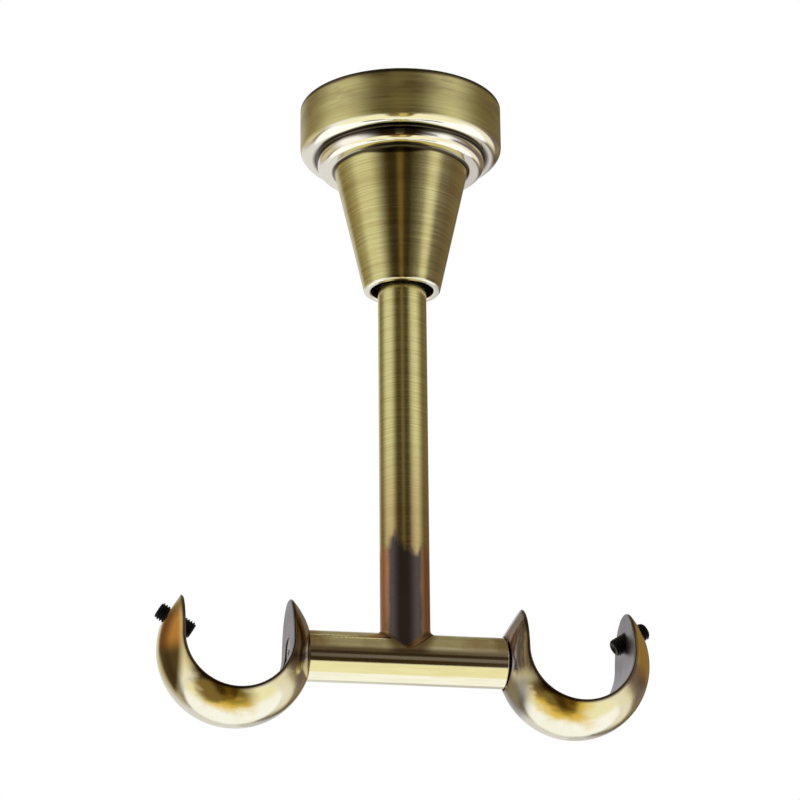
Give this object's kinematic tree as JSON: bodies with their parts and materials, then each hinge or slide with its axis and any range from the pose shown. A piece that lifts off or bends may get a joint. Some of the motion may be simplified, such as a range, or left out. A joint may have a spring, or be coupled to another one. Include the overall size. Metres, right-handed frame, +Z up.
{
  "type": "curtain pole bracket",
  "caption": "Ceiling bracket for a pair of curtain poles: round cup with a tapered cone, straight stem, crossbar and open pole cradles with clamp screws.",
  "frame": {"origin": "centre of the face that lies against the ceiling", "axes": "+Z up into the ceiling, crossbar along X, poles along Y, grub screw at the back on +Y"},
  "size_m": [0.139, 0.0584, 0.1868],
  "materials": {
    "brushed_brass": "brushed antique brass plating",
    "polished_brass": "polished antique brass plating",
    "black_steel": "blackened steel",
    "zinc_steel": "zinc plated",
    "plain_steel": "zinc plated"
  },
  "bodies": {
    "bracket": {"base_cover": "brushed_brass", "stem": "brushed_brass", "crossbar": "brushed_brass", "cradle_left": "polished_brass", "cradle_right": "polished_brass", "cover_grub_screw": "zinc_steel", "stem_screw": "zinc_steel", "stem_washer": "zinc_steel", "cradle_screw_left": "zinc_steel", "cradle_screw_right": "zinc_steel", "ceiling_plate": "plain_steel", "stem_plug": "plain_steel", "bar_plug_left": "plain_steel", "bar_plug_right": "plain_steel"},
    "clamp_screw_left": {"pole_clamp_screw_left": "black_steel"},
    "clamp_screw_right": {"pole_clamp_screw_right": "black_steel"}
  },
  "joints": [
    {"name": "clamp_screw_left_slide", "type": "slide", "parent": "bracket", "child": "clamp_screw_left", "axis": [0.848, 0, -0.5299], "range_m": [-0.0035, 0.0031]},
    {"name": "clamp_screw_right_slide", "type": "slide", "parent": "bracket", "child": "clamp_screw_right", "axis": [-0.848, 0, -0.5299], "range_m": [-0.0035, 0.0031]}
  ]
}
